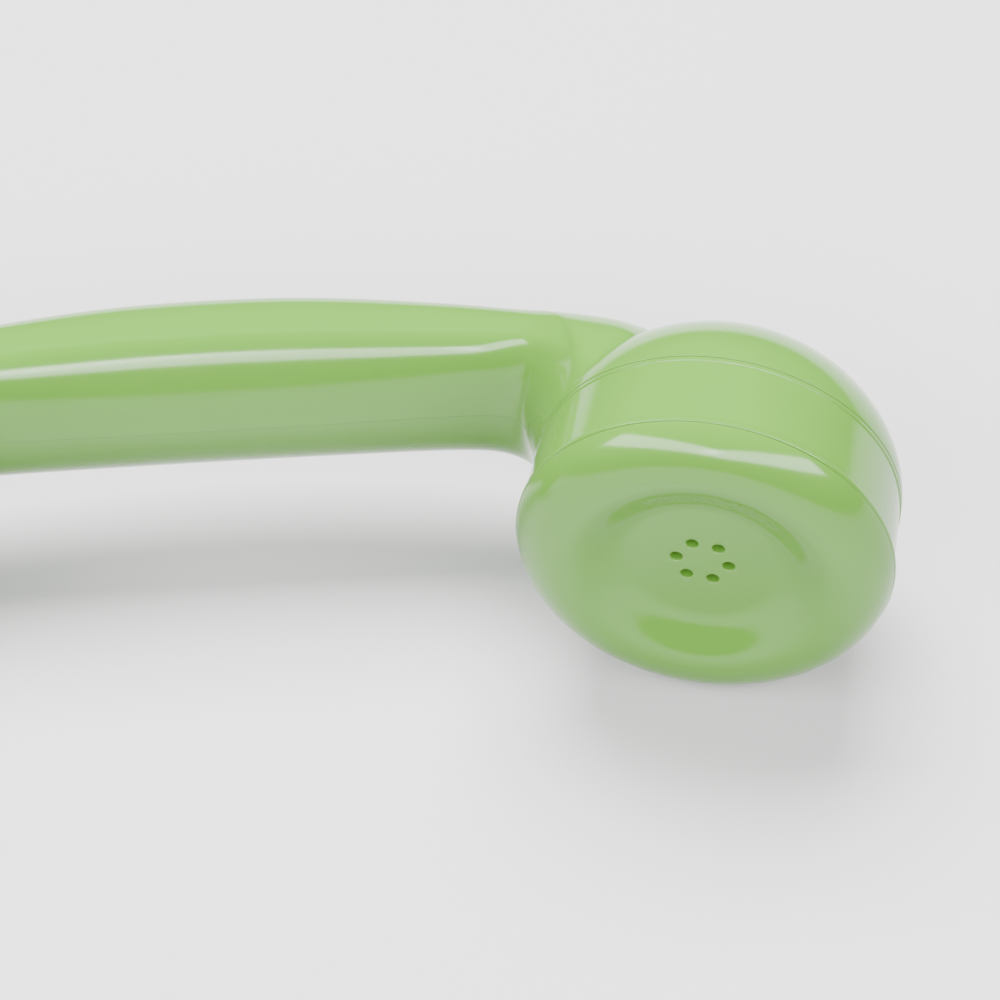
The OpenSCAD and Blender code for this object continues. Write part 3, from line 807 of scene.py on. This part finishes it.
RIM_ROUND = 8.4
RIM_CIRCLE = 22.8
RIM_BACK = 2.4
FACE_OUT = 2.0
CAP_WALL = 2.4
SKIRT_R = 26.95
SKIRT_WALL = 1.75
SKIRT_LOW = -6.6
LAND = 0.3
DISH_R = 12.0
HOLE_R = 1.0
HOLE_ROUND = 0.28
HOLE_TURN = -7.0
HOLE_LOW = -12
HOLE_HIGH = 6
EASE_SHIFT = 0.03  # lifts the eased edge's arc clear of the face, so that the cut leaves no sliver
CAP_TURNS = 1.3
HOLES = {RECEIVER: ((6, 4.3),), TRANSMITTER: ((1, 0.0), (6, 4.3), (12, 8.6))}
FACE_RINGS = (11.0, 10.3, 6.9, 6.2, 2.3, 1.6)  # rings of edges between the circles of holes
RELIEF = ((24.0, 2.2), (21.6, 2.2))  # top of the groove that thins the rim, as (radius, height)
RELIEF_R = 20.0
RIM_STEPS = 60
DISH_STEPS = 48


def cap_profile():
    """Outline of a cap: skirt, rolled rim and dish, then the thinned inside of the rim."""
    rim_top = RIM_ROUND - RIM_BACK
    start = math.degrees(math.asin(RIM_BACK / RIM_ROUND))
    rim = arc(RIM_CIRCLE, -RIM_BACK, RIM_ROUND, start + 1.6, 88, RIM_STEPS)
    foot = RIM_CIRCLE + RIM_ROUND * math.cos(math.radians(start))
    dish = []
    for i in range(1, DISH_STEPS + 1):
        t = i / DISH_STEPS
        radius = (RIM_CIRCLE - LAND) * (1 - t) + DISH_R * t
        height = FACE_OUT + (rim_top - FACE_OUT) * (0.5 + 0.5 * math.cos(math.pi * t))
        dish.append((radius, height))
    inside = FACE_OUT - CAP_WALL
    lower = [
        (SKIRT_R - SKIRT_WALL, inside),
        (SKIRT_R - SKIRT_WALL, SKIRT_LOW),
        (SKIRT_R, SKIRT_LOW),
        (SKIRT_R, SEAM_GAP),
        (foot - 0.18, SEAM_GAP),
        (foot - 0.05, SEAM_GAP + 0.06),
    ]
    hollow = [(RELIEF_R, inside), *RELIEF[::-1], (SKIRT_R - SKIRT_WALL - 0.3, inside)]
    return (
        [(0, inside)]
        + hollow
        + lower
        + rim
        + [(RIM_CIRCLE + LAND, rim_top), (RIM_CIRCLE - LAND, rim_top)]
        + dish
        + [(radius, FACE_OUT) for radius in FACE_RINGS]
        + [(0, FACE_OUT)]
    )


def make_cap(end):
    """A screw cap with its sound holes, whose edges are eased, and its thread."""
    cap = revolved(end + "_cap_skin", cap_profile(), False, DRUM[end], 180)
    mouth = HOLE_R + HOLE_ROUND
    ease = arc(mouth, FACE_OUT - HOLE_ROUND + EASE_SHIFT, HOLE_ROUND, 180, 90, 6)
    cutter = [(0, HOLE_LOW), (HOLE_R, HOLE_LOW)] + ease + [(mouth, HOLE_HIGH), (0, HOLE_HIGH)]
    cuts = []
    for count, circle in HOLES[end]:
        for place in around(count, circle, HOLE_TURN):
            cuts.append(revolved("hole", cutter, False, DRUM[end] @ place, 32))
    combine(cap, cuts, "DIFFERENCE")
    ridge = thread_ridge("ridge", SKIRT_R, 1, THREAD_START + LEAD / 2, CAP_TURNS, DRUM[end])
    return combine(cap, [ridge], "UNION")


finish_piece(make_handle(), HANDLE_GREEN, "root", ["handle"], 28)
for end_name in SIDE:
    finish_piece(make_collar(end_name), GREEN, "root", [end_name + "_collar"])
    finish_piece(make_cap(end_name), GREEN, end_name + "_cap", [end_name + "_cap"])

# ---------------------------------------------------------------- stage and light

FLOOR_SIZE = 6.0
FLOOR_DARK = (0.46, 0.46, 0.46)
FLOOR_LIGHT = (0.47, 0.47, 0.47)


def add_floor():
    """A plain pale floor under the handset."""
    bm = bmesh.new()
    bmesh.ops.create_grid(bm, x_segments=1, y_segments=1, size=FLOOR_SIZE / 2)
    floor = make_object(bm, "floor")
    material, nodes, links, shader = new_material("floor")
    tint = noise(nodes, links, 2.0)
    colour = ramp(nodes, links, tint, FLOOR_DARK, FLOOR_LIGHT)
    links.new(colour, shader.inputs["Base Color"])
    shader.inputs["Roughness"].default_value = 0.9
    floor.data.materials.append(material)


add_floor()


def softbox(name, place, aim, width, depth, power):
    """A rectangular soft light that faces a point; sizes in metres, power in watts."""
    data = bpy.data.lights.new(name, "AREA")
    data.shape = "RECTANGLE"
    data.size = width
    data.size_y = depth
    data.energy = power
    light = bpy.data.objects.new(name, data)
    bpy.context.scene.collection.objects.link(light)
    light.location = place
    light.rotation_euler = (Vector(aim) - Vector(place)).to_track_quat("-Z", "Y").to_euler()
    return light


FRONT_AIM = (0.08, -0.02, 0.03)
WORLD_STRENGTH = 0.05
softbox("front_left", (-0.40, -0.395, 0.58), FRONT_AIM, 1.02, 0.26, 14.0)
softbox("front_right", (0.385, -0.548, 0.58), FRONT_AIM, 1.24, 0.26, 17.0)
overhead = softbox("overhead", (0.03, 0.50, 0.98), (0.02, 0.0, 0.03), 0.90, 0.60, 66.0)
overhead.visible_glossy = False  # a diffuse fill, which leaves the two front boxes alone in the gloss

world = bpy.data.worlds.new("studio")
world.use_nodes = True
world.node_tree.nodes["Background"].inputs["Color"].default_value = (1.0, 1.0, 1.0, 1.0)
world.node_tree.nodes["Background"].inputs["Strength"].default_value = WORLD_STRENGTH
bpy.context.scene.world = world
